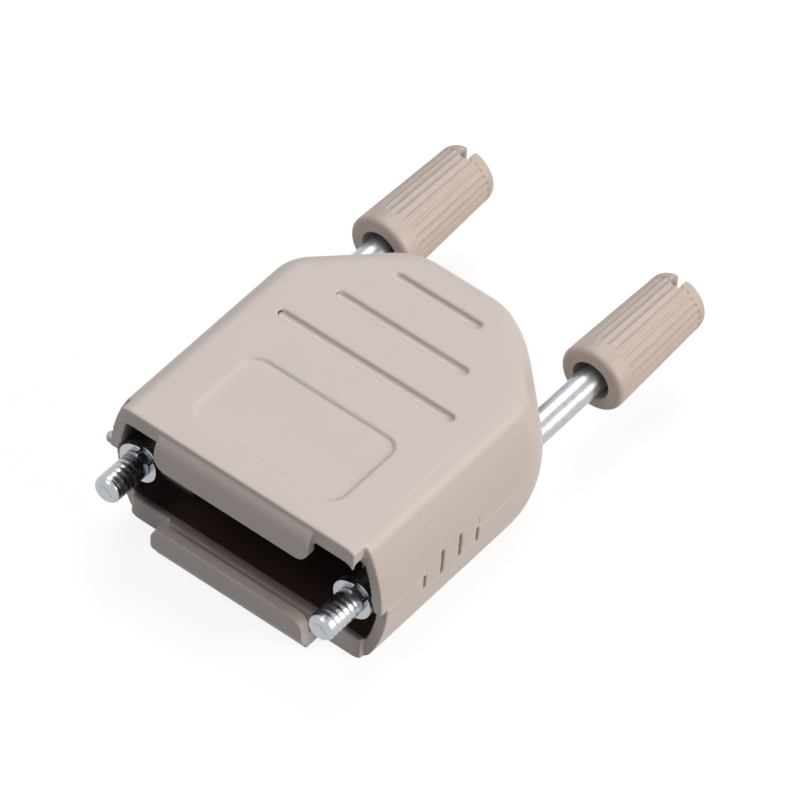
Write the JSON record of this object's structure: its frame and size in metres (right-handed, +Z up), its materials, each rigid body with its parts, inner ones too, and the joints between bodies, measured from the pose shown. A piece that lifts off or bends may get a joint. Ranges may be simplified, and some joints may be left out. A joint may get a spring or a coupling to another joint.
{
  "type": "d-sub connector hood",
  "caption": "Straight plastic hood for a nine-way D-sub connector, with snap-together half shells, an inner cable clamp and captive jackscrews with long fluted knobs.",
  "frame": {"origin": "centre of the connector flange's seat, on the flange's front face, midway between the jackscrews", "axes": "+Y runs back along the jackscrews to the cable exit, +X points right as seen from the front, +Z points up, and the seam between the shells is at Z = 0"},
  "size_m": [0.0327, 0.0541, 0.0166],
  "materials": {
    "hood_plastic": "satin moulded",
    "knob_plastic": "satin moulded",
    "zinc_steel": "zinc plated",
    "clamp_steel": "zinc plated"
  },
  "bodies": {
    "hood": {"upper_shell": "hood_plastic", "lower_shell": "hood_plastic", "upper_clamp_saddle": "clamp_steel", "lower_clamp_saddle": "clamp_steel", "left_clamp_screw": "clamp_steel", "right_clamp_screw": "clamp_steel", "left_clamp_nut": "clamp_steel", "right_clamp_nut": "clamp_steel"},
    "left_retainer": {"left_retaining_ring": "zinc_steel"},
    "left_thumbscrew": {"left_screw_shank": "zinc_steel", "left_screw_knob": "knob_plastic"},
    "right_retainer": {"right_retaining_ring": "zinc_steel"},
    "right_thumbscrew": {"right_screw_shank": "zinc_steel", "right_screw_knob": "knob_plastic"}
  },
  "joints": [
    {"name": "left_screw_slide", "type": "slide", "parent": "hood", "child": "left_retainer", "axis": [0, 1, 0], "range_m": [-0.004, 0.004]},
    {"name": "left_screw_turn", "type": "hinge", "parent": "left_retainer", "child": "left_thumbscrew", "pos_m": [-0.01249, 0, 0], "axis": [0, 1, 0], "continuous": true},
    {"name": "right_screw_slide", "type": "slide", "parent": "hood", "child": "right_retainer", "axis": [0, 1, 0], "range_m": [-0.004, 0.004]},
    {"name": "right_screw_turn", "type": "hinge", "parent": "right_retainer", "child": "right_thumbscrew", "pos_m": [0.01249, 0, 0], "axis": [0, 1, 0], "continuous": true}
  ]
}
